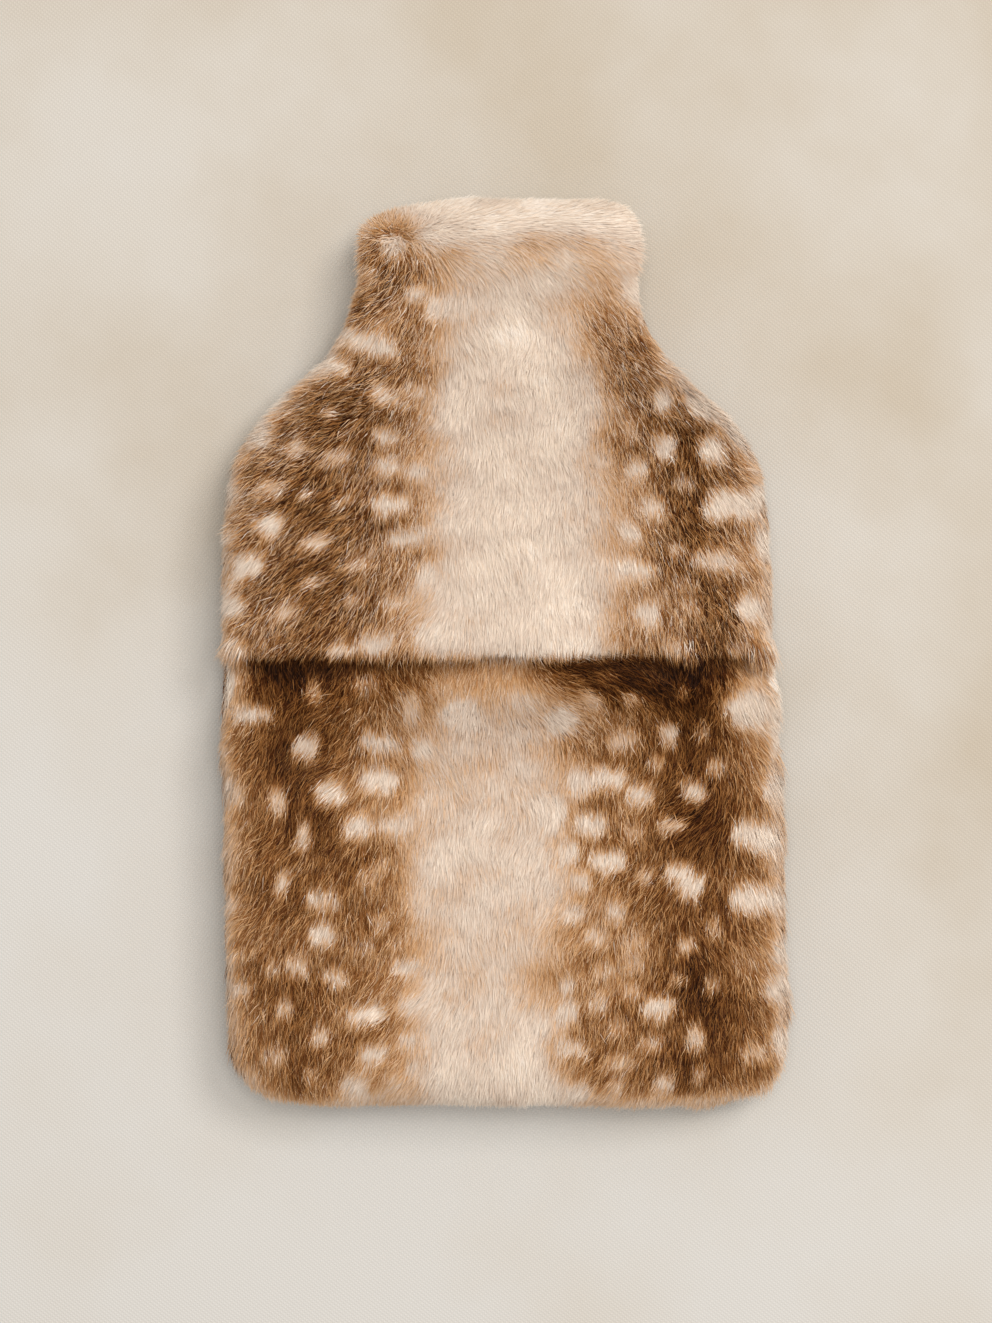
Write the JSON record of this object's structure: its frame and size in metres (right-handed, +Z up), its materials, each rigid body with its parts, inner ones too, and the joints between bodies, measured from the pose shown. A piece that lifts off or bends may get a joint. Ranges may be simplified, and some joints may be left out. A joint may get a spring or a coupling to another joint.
{
  "type": "hot water bottle cover",
  "caption": "Hollow fitted cover in long-pile cloth for a hot water bottle, with a neck and a pocket under an overlapping flap, lying on its back.",
  "frame": {"origin": "on the surface that the cover lies on, under the middle of its box", "axes": "+Y along the cover towards its neck, +X across it, +Z up out of its front"},
  "size_m": [0.224, 0.36, 0.054],
  "materials": {
    "pile_cloth": "long soft pile in brown and cream, matt with a faint sheen"
  },
  "bodies": {
    "root": {"back_panel": "pile_cloth", "upper_front_panel": "pile_cloth", "lower_front_panel": "pile_cloth"}
  },
  "joints": []
}
